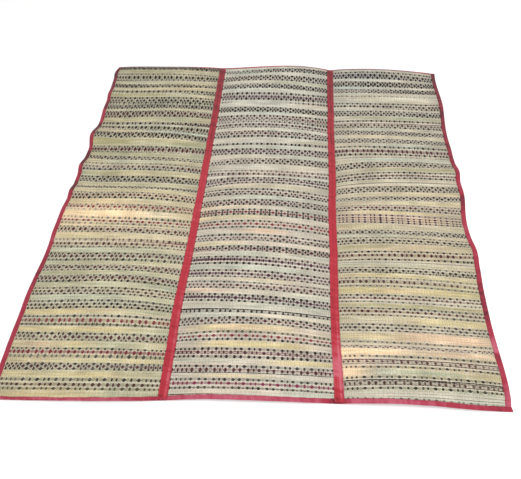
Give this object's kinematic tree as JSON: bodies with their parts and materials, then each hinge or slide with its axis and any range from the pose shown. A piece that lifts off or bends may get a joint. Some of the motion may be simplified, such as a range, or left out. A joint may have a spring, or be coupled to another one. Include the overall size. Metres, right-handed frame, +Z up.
{
  "type": "reed mat",
  "caption": "Square folding floor mat of woven reeds, opened flat: panels joined by red cloth tape, with red cloth binding round the edge.",
  "frame": {"origin": "on the floor, under the middle of the opened mat", "axes": "+X across the panels to the right, +Y from the front edge to the back edge, +Z up"},
  "size_m": [1.8414, 1.856, 0.0389],
  "materials": {
    "woven_reed": "split reeds woven on cotton threads, part of them dyed dark red, black and green",
    "red_tape": "plain woven cotton, matt, slightly puckered",
    "red_binding": "plain woven cotton, matt, folded over the edge and stitched"
  },
  "bodies": {
    "root": {"panel_left": "woven_reed", "panel_middle": "woven_reed", "panel_right": "woven_reed", "seam_tape_left": "red_tape", "seam_tape_right": "red_tape", "binding_left": "red_binding", "binding_right": "red_binding", "binding_front": "red_binding", "binding_back": "red_binding"}
  },
  "joints": []
}
